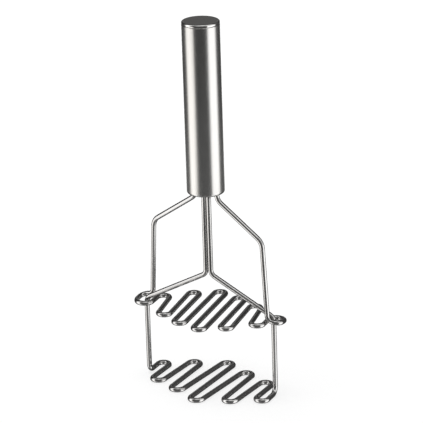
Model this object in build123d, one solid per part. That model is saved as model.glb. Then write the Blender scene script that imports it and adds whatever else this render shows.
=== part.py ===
from build123d import *
import math
import os

# Two-tier sprung potato masher, in millimetres, +Z up, standing on its lower grid.
# The origin is on the floor, under the middle of the handle.

# Wire
wire_diameter = 4.0
fit_clearance = 0.05
loose_clearance = 0.3
stop_gap = 0.2
least_run = 0.001

# Handle tube, cap and plug
handle_diameter = 30.0
handle_length = 139.0
handle_bottom_height = 161.3
tube_wall = 0.8
rim_radius = 2.0
rim_opening_radius = 12.9
tube_edge_radius = 0.4
cap_thickness = 2.0
cap_edge_radius = 1.5
cap_seam = 0.5
skirt_depth = 6.0
skirt_wall = 0.8
plug_flange_height = 4.0
plug_spigot_length = 5.0
plug_spigot_radius = 8.6
plug_chamfer = 0.8

# Bush, retainer, slider and spring inside the handle
bush_height = 18.0
bush_chamfer = 0.6
retainer_thickness = 1.2
slider_height = 10.0
slider_chamfer = 0.8
washer_thickness = 1.0
washer_hole_radius = 5.0
washer_radius = 13.4
spring_wire_diameter = 1.6
spring_mean_radius = 10.6
spring_turns = 13

# Lower frame: two rods, a wide V, two legs and a grid
rod_gap = 0.2
rod_foot_reach = 8.0
rod_foot_radius = 4.0
knee_radius = 6.0
v_slope_angle = 27.2
v_corner_rise = 2.7
v_corner_radius = 6.0
leg_half_spacing = 57.0
foot_radius = 6.0
lower_bend_half_width = 5.15
lower_reach = 41.0
lower_place_shares = (-0.94, -0.545, -0.095, 0.33, 0.744)
lower_reach_shares = (0.51, 0.79, 1.00, 0.68, 0.39)

# Upper frame: two arms, two eyes round the legs and a grid
grid_spacing = 60.5
arm_exit_half_spacing = 10.4
arm_exit_offset = 1.5
arm_foot_lead = 2.0
arm_foot_reach = 7.0
arm_foot_radius = 3.6
arm_corner_drop = 4.5
arm_corner_radius = 8.0
elbow_half_spacing = 52.2
elbow_height = 129.2
elbow_radius = 10.0
arm_end_half_spacing = 55.4
eye_entry_radius = 4.6
eye_half_width = 6.2
eye_half_depth = 7.4
eye_offset = 2.0
eye_limb_lead = 1.6
left_eye_rise = 4.0
right_eye_rise = 2.4
upper_bend_half_width = 4.8
upper_reach = 43.0
upper_lean_angle = 9.0
upper_place_shares = (-0.815, -0.436, -0.083, 0.264, 0.584)
upper_reach_shares = (0.545, 0.835, 1.0, 0.78, 0.44)

# Places that follow from the sizes above
handle_radius = handle_diameter / 2
handle_top_height = handle_bottom_height + handle_length
bore_radius = handle_radius - tube_wall
fit_radius = bore_radius - fit_clearance
wire_radius = wire_diameter / 2
lower_grid_height = wire_radius
upper_grid_height = lower_grid_height + grid_spacing
rod_half_spacing = (wire_diameter + rod_gap) / 2
tube_top_height = handle_top_height - cap_thickness - cap_seam
bush_bottom_height = handle_bottom_height + tube_wall
bush_top_height = bush_bottom_height + bush_height
retainer_top_height = bush_top_height + retainer_thickness
slider_bottom_height = retainer_top_height + stop_gap
slider_top_height = slider_bottom_height + slider_height
washer_top_height = slider_top_height + washer_thickness
plug_bottom_height = tube_top_height - skirt_depth - plug_flange_height
spring_length = plug_bottom_height - washer_top_height


def wire_path(corners):
    """Straight runs joined by tangent bends; a bend without a radius takes half its shorter run."""
    points = [Vector(*place) for place, _ in corners]
    edges = []
    here = points[0]
    for index in range(1, len(points) - 1):
        before = points[index] - points[index - 1]
        after = points[index + 1] - points[index]
        half_turn = math.radians(before.get_angle(after)) / 2
        radius = corners[index][1]
        if radius is None:
            radius = min(before.length, after.length) / 2 / math.tan(half_turn)
        tangent = radius * math.tan(half_turn)
        start = points[index] - before.normalized() * tangent
        end = points[index] + after.normalized() * tangent
        inward = (after.normalized() - before.normalized()).normalized()
        middle = points[index] + inward * (radius / math.cos(half_turn) - radius)
        if (start - here).length > least_run:
            edges.append(Line(here, start))
        edges.append(ThreePointArc(start, middle, end))
        here = end
    if (points[-1] - here).length > least_run:
        edges.append(Line(here, points[-1]))
    return Wire(edges)


def round_bar(path, radius):
    """Round section swept along a path, as bent from one length of wire."""
    return sweep(Plane(origin=path @ 0, z_dir=path % 0) * Circle(radius), path=path)


def least_gap(path, width):
    """Least clear distance from a bent wire to itself, measured on points along it."""
    count = int(path.length / (width / 3))
    places = [path @ (index / count) for index in range(count + 1)]
    step = path.length / count
    skip = int(math.pi * width / step) + 1
    gaps = [
        (places[second] - places[first]).length
        for first in range(count + 1)
        for second in range(first + skip, count + 1)
    ]
    return min(gaps) - width


def turned(corners):
    """The same corners turned half a turn about the handle's axis, in reverse order."""
    return [((-x, -y, z), radius) for (x, y, z), radius in reversed(corners)]


def grid_corners(place_shares, reach_shares, reach, half_width, lean_angle, height):
    """Corners of the hairpin bends of one grid, from left to right, back and front in turn."""
    lean = math.radians(lean_angle)
    bends = []
    for place, share, other_place, other_share in zip(
        place_shares, reach_shares, reversed(place_shares), reversed(reach_shares)
    ):
        bends.append((place * leg_half_spacing, share * reach))
        bends.append((-other_place * leg_half_spacing, -other_share * reach))
    corners = []
    for place, along in bends:
        for side in (-half_width, half_width):
            across = place * math.cos(lean) + side
            x = across * math.cos(lean) - along * math.sin(lean)
            y = across * math.sin(lean) + along * math.cos(lean)
            corners.append(((x, y, height), None))
    return corners


def lower_side():
    """Left half of the sliding frame, from the rod's foot in the slider to the foot of the leg."""
    rod_top = slider_top_height - wire_radius
    corner_height = upper_grid_height + v_corner_rise
    fall = (leg_half_spacing - rod_half_spacing) * math.tan(math.radians(v_slope_angle))
    return [
        ((-rod_half_spacing - rod_foot_reach, 0, rod_top), 0),
        ((-rod_half_spacing, 0, rod_top), rod_foot_radius),
        ((-rod_half_spacing, 0, corner_height + fall), knee_radius),
        ((-leg_half_spacing, 0, corner_height), v_corner_radius),
        ((-leg_half_spacing, 0, lower_grid_height), foot_radius),
    ]


def upper_side(eye_rise):
    """Left half of the fixed frame, from the arm's foot in the bush round the eye."""
    foot_height = bush_top_height - wire_radius
    eye_left = -leg_half_spacing - eye_offset - eye_half_width
    eye_right = -leg_half_spacing - eye_offset + eye_half_width + eye_limb_lead
    foot_x = -arm_exit_half_spacing + arm_foot_lead
    corner_height = handle_bottom_height - arm_corner_drop
    return [
        ((foot_x, arm_exit_offset - arm_foot_reach, foot_height), 0),
        ((-arm_exit_half_spacing, arm_exit_offset, foot_height), arm_foot_radius),
        ((-arm_exit_half_spacing, arm_exit_offset, corner_height), arm_corner_radius),
        ((-elbow_half_spacing, eye_half_depth, elbow_height), elbow_radius),
        ((-arm_end_half_spacing, eye_half_depth, upper_grid_height + eye_rise), eye_entry_radius),
        ((eye_left, eye_half_depth, upper_grid_height + eye_rise / 2), None),
        ((eye_left, -eye_half_depth, upper_grid_height), None),
        ((eye_right, -eye_half_depth, upper_grid_height), None),
    ]


def lower_path():
    """The whole sliding frame as one bent wire."""
    grid = grid_corners(
        lower_place_shares, lower_reach_shares, lower_reach, lower_bend_half_width, 0, lower_grid_height
    )
    return wire_path(lower_side() + grid + turned(lower_side()))


def upper_path():
    """The whole fixed frame as one bent wire."""
    grid = grid_corners(
        upper_place_shares, upper_reach_shares, upper_reach, upper_bend_half_width,
        upper_lean_angle, upper_grid_height,
    )
    return wire_path(upper_side(left_eye_rise) + grid + turned(upper_side(right_eye_rise)))


def spring_path():
    """Steady helix from quarter-turn bends, between the washer and the plug."""
    rise = (spring_length - spring_wire_diameter) / (4 * spring_turns)
    base = washer_top_height + spring_wire_diameter / 2
    run = math.hypot(2 * spring_mean_radius, rise)
    half_turn = math.acos(rise**2 / run**2) / 2
    bend = run / 2 / math.tan(half_turn)

    def corner(index):
        angle = math.radians(45 + 90 * index)
        reach = spring_mean_radius * math.sqrt(2)
        return Vector(reach * math.cos(angle), reach * math.sin(angle), base + rise * (index + 0.5))

    places = [corner(index) for index in range(4 * spring_turns)]
    start = (corner(-1) + corner(0)) / 2
    end = (places[-1] + corner(4 * spring_turns)) / 2
    return wire_path([(start, 0)] + [(place, bend) for place in places] + [(end, 0)])


def rod_slot(height, clearance):
    """Upright slot that both rods pass through together, from zero up to a height."""
    width = wire_diameter + 2 * clearance
    return extrude(SlotCenterToCenter(2 * rod_half_spacing, width), height)


def foot_recess(corners, top):
    """Seat for a bent wire end: the wire's own path with its fit, open to the top face."""
    seat = round_bar(wire_path(corners), wire_radius + fit_clearance)
    (x, y, height), _ = corners[0]
    (corner_x, corner_y, _), _ = corners[1]
    run = math.hypot(corner_x - x, corner_y - y)
    angle = math.degrees(math.atan2(corner_y - y, corner_x - x))
    middle = Vector((x + corner_x) / 2, (y + corner_y) / 2, height)
    slot = SlotCenterToCenter(run, 2 * (wire_radius + fit_clearance), rotation=angle)
    return seat + Pos(middle) * extrude(slot, top - height + fit_clearance)


def handle_tube():
    """Tube with its lower edge rolled in to a rounded rim and its top edge eased."""
    length = tube_top_height - handle_bottom_height
    inner_rim = rim_radius - tube_wall
    rim_centre = handle_radius - rim_radius
    edge_centre = handle_radius - tube_edge_radius
    edge_height = length - tube_edge_radius
    slant = math.sqrt(0.5)
    outer_middle = (rim_centre + rim_radius * slant, rim_radius - rim_radius * slant)
    inner_middle = (rim_centre + inner_rim * slant, rim_radius - inner_rim * slant)
    edge_middle = (edge_centre + tube_edge_radius * slant, edge_height + tube_edge_radius * slant)
    profile = make_face(
        Line((rim_opening_radius, 0), (rim_centre, 0))
        + ThreePointArc((rim_centre, 0), outer_middle, (handle_radius, rim_radius))
        + Line((handle_radius, rim_radius), (handle_radius, edge_height))
        + ThreePointArc((handle_radius, edge_height), edge_middle, (edge_centre, length))
        + Line((edge_centre, length), (bore_radius, length))
        + Line((bore_radius, length), (bore_radius, rim_radius))
        + ThreePointArc((bore_radius, rim_radius), inner_middle, (rim_centre, tube_wall))
        + Line((rim_centre, tube_wall), (rim_opening_radius, tube_wall))
        + Line((rim_opening_radius, tube_wall), (rim_opening_radius, 0))
    )
    return Pos(0, 0, handle_bottom_height) * revolve(Plane.XZ * profile, Axis.Z)


def end_cap():
    """Flat cap with a rounded edge and a skirt inside the tube."""
    disc = extrude(Circle(handle_radius), cap_thickness)
    disc = fillet(disc.edges().sort_by(Axis.Z)[-1], cap_edge_radius)
    ring = Circle(fit_radius) - Circle(fit_radius - skirt_wall)
    skirt = extrude(ring, -skirt_depth - cap_seam)
    return Pos(0, 0, handle_top_height - cap_thickness) * (disc + skirt)


def top_plug():
    """Stepped plug under the cap, with a spigot that centres the spring."""
    neck_radius = fit_radius - skirt_wall - fit_clearance
    neck = extrude(Circle(neck_radius), plug_flange_height + skirt_depth)
    flange = extrude(Circle(fit_radius), plug_flange_height)
    spigot = extrude(Circle(plug_spigot_radius), -plug_spigot_length)
    spigot = chamfer(spigot.edges().sort_by(Axis.Z)[0], plug_chamfer)
    return Pos(0, 0, plug_bottom_height) * (neck + flange + spigot)


def guide_bush():
    """Bush in the lower end of the tube: slides on both rods and holds both arm ends."""
    step = rim_radius - tube_wall
    foot = extrude(Circle(rim_opening_radius), step)
    body = Pos(0, 0, step) * extrude(Circle(fit_radius), bush_height - step)
    body = chamfer(body.edges().sort_by(Axis.Z)[-1], bush_chamfer)
    bush = Pos(0, 0, bush_bottom_height) * (foot + body)
    bush -= Pos(0, 0, bush_bottom_height) * rod_slot(bush_height, fit_clearance)
    left = upper_side(left_eye_rise)[:3]
    right = [((-x, -y, z), radius) for (x, y, z), radius in left]
    for corners in (left, right):
        bush -= foot_recess(corners, bush_top_height)
    return bush


def arm_retainer():
    """Disc that locks the arm ends down in the bush and stops the slider."""
    disc = extrude(Circle(fit_radius), retainer_thickness)
    disc -= rod_slot(retainer_thickness, loose_clearance)
    return Pos(0, 0, bush_top_height) * disc


def slider():
    """Guide that holds the turned-out tops of both rods and runs in the tube."""
    body = extrude(Circle(bore_radius - loose_clearance), slider_height)
    body = chamfer(body.edges().group_by(Axis.Z)[0] + body.edges().group_by(Axis.Z)[-1], slider_chamfer)
    body -= rod_slot(slider_height, fit_clearance)
    body = Pos(0, 0, slider_bottom_height) * body
    left = lower_side()[:3]
    right = [((-x, y, z), radius) for (x, y, z), radius in left]
    for corners in (left, right):
        body -= foot_recess(corners, slider_top_height)
    return body


def spring_washer():
    """Washer between the spring and the rod tops, which it locks in the slider."""
    ring = Circle(washer_radius) - Circle(washer_hole_radius)
    return Pos(0, 0, slider_top_height) * extrude(ring, washer_thickness)


def spring():
    """Compression spring between the slider and the plug."""
    return round_bar(spring_path(), spring_wire_diameter / 2)


def lower_frame():
    """Sliding frame: rods, V, legs and lower grid from one wire."""
    return round_bar(lower_path(), wire_radius)


def upper_frame():
    """Fixed frame: arms, eyes and upper grid from one wire."""
    return round_bar(upper_path(), wire_radius)


pieces = {
    "handle_tube": handle_tube(),
    "end_cap": end_cap(),
    "top_plug": top_plug(),
    "guide_bush": guide_bush(),
    "arm_retainer": arm_retainer(),
    "slider": slider(),
    "spring_washer": spring_washer(),
    "spring": spring(),
    "lower_frame": lower_frame(),
    "upper_frame": upper_frame(),
}

os.makedirs("parts", exist_ok=True)
for name, piece in pieces.items():
    export_step(piece, f"parts/{name}.step")

print("least gap of the spring to itself", round(least_gap(spring_path(), spring_wire_diameter), 2))
print("least gap of the upper frame to itself", round(least_gap(upper_path(), wire_diameter), 2))
print("least gap of the lower frame to itself", round(least_gap(lower_path(), wire_diameter), 2))
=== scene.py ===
import math

import bmesh
import bpy
from mathutils import Matrix, Vector


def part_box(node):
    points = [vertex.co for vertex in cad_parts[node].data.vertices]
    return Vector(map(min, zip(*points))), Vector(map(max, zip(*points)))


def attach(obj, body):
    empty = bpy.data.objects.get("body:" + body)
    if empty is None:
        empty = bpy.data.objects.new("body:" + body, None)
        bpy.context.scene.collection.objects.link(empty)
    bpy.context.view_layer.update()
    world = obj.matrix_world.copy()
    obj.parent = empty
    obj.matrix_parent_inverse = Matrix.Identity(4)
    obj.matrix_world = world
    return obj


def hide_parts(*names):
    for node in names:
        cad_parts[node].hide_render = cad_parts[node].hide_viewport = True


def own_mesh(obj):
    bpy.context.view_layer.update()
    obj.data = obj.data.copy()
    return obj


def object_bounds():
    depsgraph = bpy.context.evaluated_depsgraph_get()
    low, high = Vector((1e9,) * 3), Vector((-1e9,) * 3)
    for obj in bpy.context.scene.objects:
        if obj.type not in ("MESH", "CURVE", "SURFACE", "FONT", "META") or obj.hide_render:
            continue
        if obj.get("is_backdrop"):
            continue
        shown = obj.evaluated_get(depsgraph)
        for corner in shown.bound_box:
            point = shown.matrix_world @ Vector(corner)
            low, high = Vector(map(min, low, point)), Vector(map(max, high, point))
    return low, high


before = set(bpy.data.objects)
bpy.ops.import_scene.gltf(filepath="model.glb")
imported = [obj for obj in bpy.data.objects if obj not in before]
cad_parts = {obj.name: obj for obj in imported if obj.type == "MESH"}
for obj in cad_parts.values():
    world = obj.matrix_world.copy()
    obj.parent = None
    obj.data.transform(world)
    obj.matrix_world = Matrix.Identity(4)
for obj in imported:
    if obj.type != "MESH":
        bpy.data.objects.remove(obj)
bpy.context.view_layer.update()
mm = 0.001

# Camera
# A long lens stands 2.4 m away, right of the front, and looks down on the masher.
# Its roll shares out the small lean that the hand-bent frames give the real handle.
camera_turn = math.radians(28.79)
camera_tilt = math.radians(18.75)
camera_roll = math.radians(1.81)
camera_distance = 2398 * mm
view_centre_right = -0.45 * mm
view_centre_height = 137.49 * mm
image_width_px = 423
focal_length_px = 3000

level_right = Vector((math.cos(camera_turn), math.sin(camera_turn), 0))
level_ahead = Vector((-math.sin(camera_turn), math.cos(camera_turn), 0))
ahead = level_ahead * math.cos(camera_tilt) - Vector((0, 0, math.sin(camera_tilt)))
level_up = level_ahead * math.sin(camera_tilt) + Vector((0, 0, math.cos(camera_tilt)))
right = level_right * math.cos(camera_roll) - level_up * math.sin(camera_roll)
up = level_right * math.sin(camera_roll) + level_up * math.cos(camera_roll)
stand = right * view_centre_right + up * view_centre_height - ahead * camera_distance
camera = bpy.data.objects.new("camera", bpy.data.cameras.new("camera"))
camera.data.lens = camera.data.sensor_width * focal_length_px / image_width_px
camera.matrix_world = Matrix.Translation(stand) @ Matrix((right, up, -ahead)).transposed().to_4x4()
bpy.context.scene.collection.objects.link(camera)
bpy.context.scene.camera = camera


# Handle tube
# Thin-walled stainless tube, its lower edge rolled in to a rounded rim.
# A belt has brushed it lengthwise, so the finish is fine straight lines with a soft sheen.
tube_light = "#c9c8c6"
tube_dark = "#b6b5b3"
tube_line_width = 0.8 * mm    # drawn about five times as coarse as the grit leaves it
tube_line_length = 45 * mm
tube_line_depth = 0.02 * mm
tube_line_strength = 0.12
tube_smooth = 0.17
tube_rough = 0.27
tube_haze_size = 18 * mm
tube_haze_smooth = -0.02
tube_haze_rough = 0.03
tube_anisotropy = 0.4

# a Mix node's sockets go by number: the two colours and their mix, and the two plain values
mix_colour_a = 6
mix_colour_b = 7
mix_colour_out = 2
mix_value_a = 2
mix_value_b = 3


def colour(hex_value):
    """Linear colour with alpha from an sRGB hex value."""
    parts = [int(hex_value[i:i + 2], 16) / 255 for i in (1, 3, 5)]
    linear = [c / 12.92 if c <= 0.04045 else ((c + 0.055) / 1.055) ** 2.4 for c in parts]
    return (*linear, 1.0)


def add_node(tree, kind, inputs=None, **settings):
    """Adds a node with its settings; an input is a value, or a socket to link from."""
    node = tree.nodes.new(kind)
    for name, value in settings.items():
        setattr(node, name, value)
    for name, value in (inputs or {}).items():
        if isinstance(value, bpy.types.NodeSocket):
            tree.links.new(value, node.inputs[name])
        else:
            node.inputs[name].default_value = value
    return node


def new_finish(name, metallic, roughness):
    """A material with its node tree, its surface shader and the place in the frame, in metres.

    The roughness is the finish's middle one, which stands until a pattern is linked to it.
    """
    material = bpy.data.materials.new(name)
    material.use_nodes = True
    tree = material.node_tree
    shader = tree.nodes["Principled BSDF"]
    shader.inputs["Metallic"].default_value = metallic
    shader.inputs["Roughness"].default_value = roughness
    place = add_node(tree, "ShaderNodeTexCoord").outputs["Object"]
    return material, tree, shader, place


def dress(node, material):
    """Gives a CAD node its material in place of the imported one."""
    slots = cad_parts[node].data.materials
    slots.clear()
    slots.append(material)


satin_tube, tree, shader, place = new_finish(
    "lengthwise_brushed_stainless_tube", metallic=1.0, roughness=0.24,
)
stretched = add_node(tree, "ShaderNodeVectorMath", {
    0: place,
    1: (1 / tube_line_width, 1 / tube_line_width, 1 / tube_line_length),
}, operation="MULTIPLY")
lines = add_node(tree, "ShaderNodeTexNoise", {"Vector": stretched.outputs[0], "Scale": 1.0, "Detail": 3.0})
haze = add_node(tree, "ShaderNodeTexNoise", {"Vector": place, "Scale": 1 / tube_haze_size, "Detail": 1.0})
tint = add_node(tree, "ShaderNodeMix", {
    "Factor": lines.outputs["Fac"], mix_colour_a: colour(tube_dark), mix_colour_b: colour(tube_light),
}, data_type="RGBA")
line_roughness = add_node(tree, "ShaderNodeMapRange", {
    "Value": lines.outputs["Fac"], "To Min": tube_smooth, "To Max": tube_rough,
})
haze_roughness = add_node(tree, "ShaderNodeMapRange", {
    "Value": haze.outputs["Fac"], "To Min": tube_haze_smooth, "To Max": tube_haze_rough,
})
roughness = add_node(tree, "ShaderNodeMath", {
    0: line_roughness.outputs[0], 1: haze_roughness.outputs[0],
}, operation="ADD")
grooves = add_node(tree, "ShaderNodeBump", {
    "Height": lines.outputs["Fac"], "Strength": tube_line_strength, "Distance": tube_line_depth,
})
around = add_node(tree, "ShaderNodeTangent", direction_type="RADIAL", axis="Z")
tree.links.new(tint.outputs[mix_colour_out], shader.inputs["Base Color"])
tree.links.new(roughness.outputs[0], shader.inputs["Roughness"])
tree.links.new(grooves.outputs[0], shader.inputs["Normal"])
tree.links.new(around.outputs[0], shader.inputs["Tangent"])
shader.inputs["Anisotropic"].default_value = tube_anisotropy
dress("handle_tube", satin_tube)


# End cap
# Pressed stainless disc with a rounded edge and a skirt that sits in the tube.
# It was polished while it turned, so its lines are rings round the middle; its edge ring is buffed smoother
# and painted lighter, a painted highlight.
cap_light = "#b9b7b4"
cap_dark = "#9d9b98"
# the rim ring's lighter colour is a painted highlight
cap_edge_highlight = "#d0cfcd"
cap_ring_width = 0.7 * mm    # coarser than the real rings, so that they show
cap_ring_depth = 0.02 * mm
cap_ring_strength = 0.1
cap_smooth = 0.16
cap_rough = 0.28
cap_edge_roughness = 0.13
cap_face_reach = 13.2 * mm
cap_buffed_highlight_reach = 13.9 * mm

spun_cap, tree, shader, place = new_finish("spun_stainless_cap", metallic=1.0, roughness=0.22)
flat_place = add_node(tree, "ShaderNodeVectorMath", {0: place, 1: (1.0, 1.0, 0.0)}, operation="MULTIPLY")
from_middle = add_node(tree, "ShaderNodeVectorMath", {0: flat_place.outputs[0]}, operation="LENGTH")
rings = add_node(tree, "ShaderNodeTexNoise", {
    "W": from_middle.outputs["Value"], "Scale": 1 / cap_ring_width, "Detail": 2.0,
}, noise_dimensions="1D")
# 0 on the face and 1 on the rim ring, which is smoother and painted lighter as a painted highlight
buffed_and_highlight = add_node(tree, "ShaderNodeMapRange", {
    "Value": from_middle.outputs["Value"], "From Min": cap_face_reach, "From Max": cap_buffed_highlight_reach,
})
ring_tint = add_node(tree, "ShaderNodeMix", {
    "Factor": rings.outputs["Fac"], mix_colour_a: colour(cap_dark), mix_colour_b: colour(cap_light),
}, data_type="RGBA")
tint = add_node(tree, "ShaderNodeMix", {
    "Factor": buffed_and_highlight.outputs[0],
    mix_colour_a: ring_tint.outputs[mix_colour_out],
    mix_colour_b: colour(cap_edge_highlight),
}, data_type="RGBA")
ring_roughness = add_node(tree, "ShaderNodeMapRange", {
    "Value": rings.outputs["Fac"], "To Min": cap_smooth, "To Max": cap_rough,
})
roughness = add_node(tree, "ShaderNodeMix", {
    "Factor": buffed_and_highlight.outputs[0], mix_value_a: ring_roughness.outputs[0], mix_value_b: cap_edge_roughness,
}, data_type="FLOAT")
ring_bump = add_node(tree, "ShaderNodeBump", {
    "Height": rings.outputs["Fac"], "Strength": cap_ring_strength, "Distance": cap_ring_depth,
})
tree.links.new(tint.outputs[mix_colour_out], shader.inputs["Base Color"])
tree.links.new(roughness.outputs[0], shader.inputs["Roughness"])
tree.links.new(ring_bump.outputs[0], shader.inputs["Normal"])
dress("end_cap", spun_cap)


# Top plug, guide bush and slider
# Turned and moulded nylon parts inside the tube; only the bush's lower face shows.
# Glass-filled black nylon has a dull skin with a fine grain.
nylon_black = "#1d1d1e"
nylon_grey = "#2b2b2c"
nylon_grain_size = 0.5 * mm
nylon_grain_depth = 0.05 * mm
nylon_grain_strength = 0.2
nylon_smooth = 0.42
nylon_rough = 0.6
nylon_ior = 1.53


def vary(tree, shader, pattern, dark, light, smooth, rough):
    """Where the pattern rises from 0 to 1, the finish goes from dark to light and smooth to rough."""
    tint = add_node(tree, "ShaderNodeMix", {
        "Factor": pattern, mix_colour_a: colour(dark), mix_colour_b: colour(light),
    }, data_type="RGBA")
    roughness = add_node(tree, "ShaderNodeMapRange", {"Value": pattern, "To Min": smooth, "To Max": rough})
    tree.links.new(tint.outputs[mix_colour_out], shader.inputs["Base Color"])
    tree.links.new(roughness.outputs[0], shader.inputs["Roughness"])


black_nylon, tree, shader, place = new_finish("moulded_black_nylon", metallic=0.0, roughness=0.5)
grain = add_node(tree, "ShaderNodeTexNoise", {"Vector": place, "Scale": 1 / nylon_grain_size, "Detail": 4.0})
vary(tree, shader, grain.outputs["Fac"], nylon_black, nylon_grey, nylon_smooth, nylon_rough)
grain_bump = add_node(tree, "ShaderNodeBump", {
    "Height": grain.outputs["Fac"], "Strength": nylon_grain_strength, "Distance": nylon_grain_depth,
})
tree.links.new(grain_bump.outputs[0], shader.inputs["Normal"])
shader.inputs["IOR"].default_value = nylon_ior
for node in ("top_plug", "guide_bush", "slider"):
    dress(node, black_nylon)


# Arm retainer and spring washer
# Flat discs stamped from bright steel sheet, with the sheet's rolling marks.
# The marks run one way over both faces, and the steel between them is a little brighter.
sheet_light = "#b3b1ad"
sheet_dark = "#96948f"
sheet_smooth = 0.28
sheet_rough = 0.42
rolling_mark_width = 0.6 * mm
rolling_mark_length = 12 * mm

stamped_sheet, tree, shader, place = new_finish("stamped_steel_sheet", metallic=1.0, roughness=0.35)
stretched = add_node(tree, "ShaderNodeVectorMath", {
    0: place,
    1: (1 / rolling_mark_length, 1 / rolling_mark_width, 1 / rolling_mark_width),
}, operation="MULTIPLY")
marks = add_node(tree, "ShaderNodeTexNoise", {"Vector": stretched.outputs[0], "Scale": 1.0, "Detail": 2.0})
vary(tree, shader, marks.outputs["Fac"], sheet_dark, sheet_light, sheet_smooth, sheet_rough)
for node in ("arm_retainer", "spring_washer"):
    dress(node, stamped_sheet)


# Spring
# Compression spring wound from hard-drawn wire, its end turns closed and ground flat.
# It stands between the washer and the plug. The real one shortens as the handle goes down; this coil is one
# fixed shape that moves with the handle.
spring_wire = 1.6 * mm
spring_open_turns = 11
spring_closed_turns = 1.25
spring_sides = 12
steps_per_turn = 40
spring_grey = "#8d8b87"
spring_straw = "#a39b8c"
spring_smooth = 0.25
spring_rough = 0.4
draw_mark_size = 1.2 * mm

spring_low, spring_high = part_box("spring")
spring_radius = (spring_high.x - spring_low.x - spring_wire) / 2
spring_height = spring_high.z - spring_low.z
open_height = spring_height - 2 * spring_closed_turns * spring_wire
turns = spring_open_turns + 2 * spring_closed_turns


def spring_rise(turn):
    """Height of the wire's middle after some turns: closed, then open, then closed again."""
    low = min(turn, spring_closed_turns)
    high = max(turn - spring_closed_turns - spring_open_turns, 0)
    opened = turn - low - high
    return (low + high) * spring_wire + opened * open_height / spring_open_turns


def wound_wire(name, places, radius, sides):
    """A round wire as a mesh of rings square to its run, closed at both ends."""
    mesh = bmesh.new()
    rings = []
    for index, here in enumerate(places):
        run = places[min(index + 1, len(places) - 1)] - places[max(index - 1, 0)]
        run.normalize()
        side = run.cross(Vector((0, 0, 1))).normalized()
        over = side.cross(run)
        angles = [2 * math.pi * k / sides for k in range(sides)]
        ring = [here + side * radius * math.cos(a) + over * radius * math.sin(a) for a in angles]
        rings.append([mesh.verts.new(corner) for corner in ring])
    for lower, upper in zip(rings, rings[1:]):
        for k in range(sides):
            face = mesh.faces.new((lower[k], lower[(k + 1) % sides], upper[(k + 1) % sides], upper[k]))
            face.smooth = True
    mesh.faces.new(rings[0])
    mesh.faces.new(reversed(rings[-1]))
    bmesh.ops.recalc_face_normals(mesh, faces=mesh.faces)
    made = bpy.data.meshes.new(name)
    mesh.to_mesh(made)
    mesh.free()
    piece = bpy.data.objects.new(name, made)
    bpy.context.scene.collection.objects.link(piece)
    return piece


coil_places = []
for step in range(int(turns * steps_per_turn) + 1):
    turn = step / steps_per_turn
    angle = 2 * math.pi * turn
    coil_places.append(Vector((
        spring_radius * math.cos(angle),
        spring_radius * math.sin(angle),
        spring_low.z + spring_rise(turn),
    )))
coil = wound_wire("wound_spring", coil_places, spring_wire / 2, spring_sides)
for corner in coil.data.vertices:
    # the grinding wheel leaves both ends flat
    corner.co.z = min(max(corner.co.z, spring_low.z), spring_high.z)

drawn_spring, tree, shader, place = new_finish("hard_drawn_spring_wire", metallic=1.0, roughness=0.32)
marks = add_node(tree, "ShaderNodeTexNoise", {"Vector": place, "Scale": 1 / draw_mark_size, "Detail": 3.0})
vary(tree, shader, marks.outputs["Fac"], spring_grey, spring_straw, spring_smooth, spring_rough)
coil.data.materials.append(drawn_spring)

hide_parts("spring")
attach(coil, "handle")
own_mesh(coil)


# Lower and upper frame
# Each is one length of 4 mm stainless wire, cold bent and then tumbled to a bright polish.
# Polished wire mirrors the studio almost sharply, with faint drawing marks and soft patches.
wire_light = "#c8c7c6"
wire_dark = "#b3b2b1"
wire_smooth = 0.11
wire_rough = 0.16
wire_patch_size = 14 * mm
wire_mark_size = 0.9 * mm
wire_mark_depth = 0.01 * mm
wire_mark_strength = 0.03

bright_wire, tree, shader, place = new_finish("tumbled_stainless_wire", metallic=1.0, roughness=0.13)
marks = add_node(tree, "ShaderNodeTexNoise", {"Vector": place, "Scale": 1 / wire_mark_size, "Detail": 3.0})
patches = add_node(tree, "ShaderNodeTexNoise", {"Vector": place, "Scale": 1 / wire_patch_size, "Detail": 1.0})
vary(tree, shader, patches.outputs["Fac"], wire_dark, wire_light, wire_smooth, wire_rough)
mark_bump = add_node(tree, "ShaderNodeBump", {
    "Height": marks.outputs["Fac"], "Strength": wire_mark_strength, "Distance": wire_mark_depth,
})
tree.links.new(mark_bump.outputs[0], shader.inputs["Normal"])
for node in ("lower_frame", "upper_frame"):
    dress(node, bright_wire)


# Floor
# Seamless white paper that the masher stands on. Whatever looks at it sees it lifted towards
# white, so its shadow is faint; the lift grows away from the masher, where the lamp's light falls.
floor_reach = 6.0
paper_white = "#f4f4f4"
paper_lift = 0.68
near_glow = 1.09
far_glow = 1.25
near_reach = 0.1
far_reach = 0.9

floor_mesh = bpy.data.meshes.new("paper_floor")
floor_mesh.from_pydata(
    [(x, y, 0) for x, y in ((-1, -1), (1, -1), (1, 1), (-1, 1))], [], [(0, 1, 2, 3)]
)
floor_mesh.transform(Matrix.Scale(floor_reach, 4))
floor = bpy.data.objects.new("paper_floor", floor_mesh)
bpy.context.scene.collection.objects.link(floor)
floor.visible_glossy = False    # the steel mirrors the tent below instead
floor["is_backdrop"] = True

paper = bpy.data.materials.new("white_paper")
paper.use_nodes = True
tree = paper.node_tree
tree.nodes.clear()


def seen_directly(tree):
    """1 for camera, glossy and transmission rays, which see the plain background, and 0 for others."""
    rays = add_node(tree, "ShaderNodeLightPath")
    either = add_node(tree, "ShaderNodeMath", {
        0: rays.outputs["Is Camera Ray"], 1: rays.outputs["Is Glossy Ray"],
    }, operation="MAXIMUM")
    return add_node(tree, "ShaderNodeMath", {
        0: either.outputs[0], 1: rays.outputs["Is Transmission Ray"],
    }, operation="MAXIMUM").outputs[0]


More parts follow.
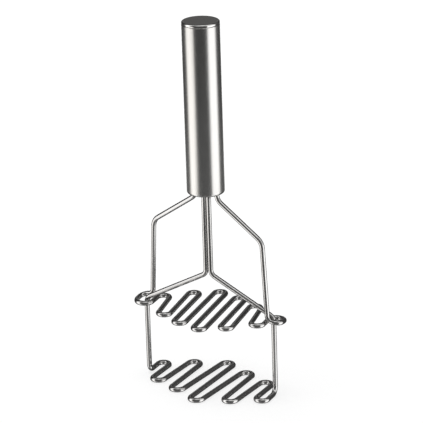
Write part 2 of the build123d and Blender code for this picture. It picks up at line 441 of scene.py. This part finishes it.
matt = add_node(tree, "ShaderNodeBsdfDiffuse", {"Color": colour(paper_white)})
place = add_node(tree, "ShaderNodeTexCoord").outputs["Object"]
from_masher = add_node(tree, "ShaderNodeVectorMath", {0: place}, operation="LENGTH")
glow_level = add_node(tree, "ShaderNodeMapRange", {
    "Value": from_masher.outputs["Value"], "From Min": near_reach, "From Max": far_reach,
    "To Min": near_glow, "To Max": far_glow,
})
glow = add_node(tree, "ShaderNodeEmission", {"Strength": glow_level.outputs[0]})
lift = add_node(tree, "ShaderNodeMath", {0: seen_directly(tree), 1: paper_lift}, operation="MULTIPLY")
both = add_node(tree, "ShaderNodeMixShader", {0: lift.outputs[0], 1: matt.outputs[0], 2: glow.outputs[0]})
add_node(tree, "ShaderNodeOutputMaterial", {"Surface": both.outputs[0]})
floor_mesh.materials.append(paper)


# Light tent
# A wide tent of card round the masher that only its mirror finish sees: white side panels, a dark
# flag at the front and a dark back, which draw the bands down a steel tube, and a white strip at the
# rear. It hangs in bands of height, each lit for the wires or the handle that mirror it.
tent_radius = 3.0
tent_middle_height = 0.15
tent_sides = 96
degrees_per_row = 4
plain_white = (1.0, 1.0, 1.0)
warm_white = (1.0, 0.98, 0.955)

# where the cards meet, in degrees round the tent from the camera's side towards its right
rear_strip_edge = 168
rear_strip_fade = 158
left_back_end = -124
left_panel_edge = -107
left_panel_start = -92
flag_left = -24
flag_right = 20
flag_corner = 36
right_panel_start = 45
right_panel_end = 88
right_panel_edge = 101
flank_start = 113
flank_end = 126
right_back_start = 142

# the left panel's light halfway through its fade, and the flag's right corner, lit by the right panel
half_fade_gain = 0.34
flag_corner_gain = 1.6


def tent_band(name, low_degrees, high_degrees, stops):
    """One level band of the tent, between two angles of height, that glows by the angle round it.

    A stop is the angle from the camera's side towards its right, the brightness and the tint there.
    """
    mesh = bpy.data.meshes.new(name)
    rows = math.ceil((high_degrees - low_degrees) / degrees_per_row)
    heights = [math.radians(low_degrees + (high_degrees - low_degrees) * k / rows) for k in range(rows + 1)]
    turns = [2 * math.pi * k / tent_sides for k in range(tent_sides)]
    corners = [
        (
            tent_radius * math.cos(height) * math.sin(turn),
            -tent_radius * math.cos(height) * math.cos(turn),
            tent_middle_height + tent_radius * math.sin(height),
        )
        for height in heights for turn in turns
    ]
    faces = [
        (row + k, row + (k + 1) % tent_sides, row + tent_sides + (k + 1) % tent_sides, row + tent_sides + k)
        for row in range(0, tent_sides * rows, tent_sides) for k in range(tent_sides)
    ]
    mesh.from_pydata(corners, [], faces)
    band = bpy.data.objects.new(name, mesh)
    band.rotation_euler.z = camera_turn
    bpy.context.scene.collection.objects.link(band)
    band.visible_camera = False
    band.visible_diffuse = False
    band.visible_shadow = False
    band.visible_transmission = False
    band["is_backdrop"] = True

    card = bpy.data.materials.new(name + "_card")
    card.use_nodes = True
    tree = card.node_tree
    tree.nodes.clear()
    place = add_node(tree, "ShaderNodeTexCoord").outputs["Object"]
    split = add_node(tree, "ShaderNodeSeparateXYZ", {0: place})
    to_camera = add_node(tree, "ShaderNodeMath", {0: split.outputs["Y"], 1: -1.0}, operation="MULTIPLY")
    angle = add_node(tree, "ShaderNodeMath", {
        0: split.outputs["X"], 1: to_camera.outputs[0],
    }, operation="ARCTAN2")
    share = add_node(tree, "ShaderNodeMapRange", {
        "Value": angle.outputs[0], "From Min": -math.pi, "From Max": math.pi,
    })
    ramp = add_node(tree, "ShaderNodeValToRGB", {"Fac": share.outputs[0]})
    brightest = max(level for _, level, _ in stops)
    elements = ramp.color_ramp.elements
    for degrees, _, _ in stops[1:-1]:
        elements.new((degrees + 180) / 360)
    for element, (degrees, level, tint) in zip(elements, stops):
        element.position = (degrees + 180) / 360
        element.color = (*(level / brightest * part for part in tint), 1)
    glow = add_node(tree, "ShaderNodeEmission", {"Color": ramp.outputs[0], "Strength": brightest})
    add_node(tree, "ShaderNodeOutputMaterial", {"Surface": glow.outputs[0]})
    mesh.materials.append(card)


# Each band's name, its lowest and highest angle, the angle where its left panel ends, the angle over
# which that panel then fades, its tint, and the brightness of the left panel, of the right panel, of
# the place where the fade meets the flag, of the flag, of the panels' outer edges, of the right flank,
# of the back and of the rear strip
tent_bands = (
    ("tent_below", -88, -60, -58, 21, plain_white, 0.3, 0.3, 0.36, 0.24, 0.2, 0.14, 0.14, 0.14),
    ("tent_low", -60, -25.5, -63, 21, plain_white, 1.7, 1.9, 0.29, 0.19, 0.15, 0.06, 0.05, 0.05),
    ("tent_under_legs", -25.5, -22, -58, 21, warm_white, 1.7, 1.8, 0.54, 0.42, 0.17, 0.1, 0.08, 1.5),
    ("tent_under_arms", -22, -18.3, -66, 14, warm_white, 1.9, 1.5, 0.02, 0.01, 0.2, 0.1, 0.12, 1.5),
    ("tent_under_foot", -18.3, -16.6, -56, 21, warm_white, 2.6, 2.7, 0.5, 0.42, 0.56, 0.25, 0.31, 1.8),
    ("tent_under_head", -16.6, -9, -52.5, 14, warm_white, 2.0, 2.05, 0.1, 0.05, 0.2, 0.09, 0.1, 1.8),
    ("tent_level", -9, 13, -76, 21, plain_white, 1.9, 1.9, 0.03, 0.13, 0.12, 0.06, 0.05, 0.06),
    ("tent_over", 13, 42, -76, 21, plain_white, 1.9, 1.0, 0.03, 0.18, 0.16, 0.14, 0.05, 0.18),
    ("tent_high", 42, 60, -68, 21, plain_white, 1.2, 1.2, 0.2, 0.38, 0.1, 0.05, 0.04, 0.05),
    ("tent_roof", 60, 88, -68, 21, plain_white, 0.9, 0.9, 0.9, 1.5, 0.1, 0.05, 0.05, 0.05),
)
for name, low, high, end, fade, tint, left, opposite, join, flag, edge, flank, back, rear in tent_bands:
    tent_band(name, low, high, (
        (-180, rear, plain_white),
        (-rear_strip_edge, rear, plain_white),
        (-rear_strip_fade, back, plain_white),
        (left_back_end, back, plain_white),
        (left_panel_edge, edge, tint),
        (left_panel_start, left, tint),
        (end, left, tint),
        (end + fade / 2, left * half_fade_gain, tint),
        (end + fade, join, plain_white),
        (flag_left, flag, plain_white),
        (flag_right, flag, plain_white),
        (flag_corner, flag * flag_corner_gain, plain_white),
        (right_panel_start, opposite, plain_white),
        (right_panel_end, opposite, plain_white),
        (right_panel_edge, edge, plain_white),
        (flank_start, flank, plain_white),
        (flank_end, flank, plain_white),
        (right_back_start, back, plain_white),
        (rear_strip_fade, back, plain_white),
        (rear_strip_edge, rear, plain_white),
        (180, rear, plain_white),
    ))


# Lamps and sky
# One wide lamp overhead, a little left of the masher, and a plain even sky light the paper.
# Whatever looks past the paper sees the sky as plain white.
sky_level = 0.56
background_level = 1.0
overhead_power = 10.0
overhead_size = 0.8
overhead_place = Vector((-0.2, 0.0, 1.5))

lamp = bpy.data.objects.new("overhead_lamp", bpy.data.lights.new("overhead_lamp", "AREA"))
lamp.data.size = overhead_size
lamp.data.energy = overhead_power
lamp.location = overhead_place
lamp.rotation_euler = (-overhead_place).to_track_quat("-Z", "Y").to_euler()
lamp.visible_glossy = False
bpy.context.scene.collection.objects.link(lamp)

sky = bpy.data.worlds.new("studio_sky")
sky.use_nodes = True
tree = sky.node_tree
tree.nodes.clear()
level = add_node(tree, "ShaderNodeMix", {
    "Factor": seen_directly(tree), mix_value_a: sky_level, mix_value_b: background_level,
}, data_type="FLOAT")
light = add_node(tree, "ShaderNodeBackground", {"Color": colour("#ffffff"), "Strength": level.outputs[0]})
add_node(tree, "ShaderNodeOutputWorld", {"Surface": light.outputs[0]})
bpy.context.scene.world = sky
bpy.context.scene.view_settings.view_transform = "Standard"

low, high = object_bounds()
